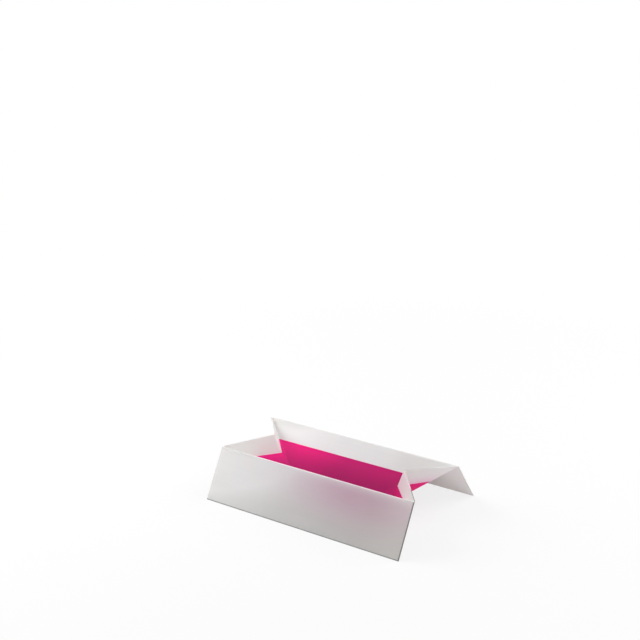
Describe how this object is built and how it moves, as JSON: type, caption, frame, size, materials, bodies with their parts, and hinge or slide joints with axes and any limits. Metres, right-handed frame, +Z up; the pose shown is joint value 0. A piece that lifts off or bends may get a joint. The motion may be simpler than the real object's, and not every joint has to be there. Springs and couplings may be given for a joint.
{
  "type": "reagent reservoir",
  "caption": "Folded translucent plastic trough on sloping wings, with pleated ends and a pool of magenta reagent, for filling multichannel pipettes.",
  "frame": {"origin": "on the bench, at the centre of the footprint, below the middle of the trough", "axes": "+X along the trough and its ridges, +Y from the front wing to the back wing, +Z up"},
  "size_m": [0.11, 0.0686, 0.0248],
  "materials": {
    "sheet": "milky translucent sheet with a satin face, folded",
    "reagent": "magenta dyed water, wet and glossy"
  },
  "bodies": {
    "root": {"reservoir": "sheet", "reagent": "reagent"}
  },
  "joints": []
}
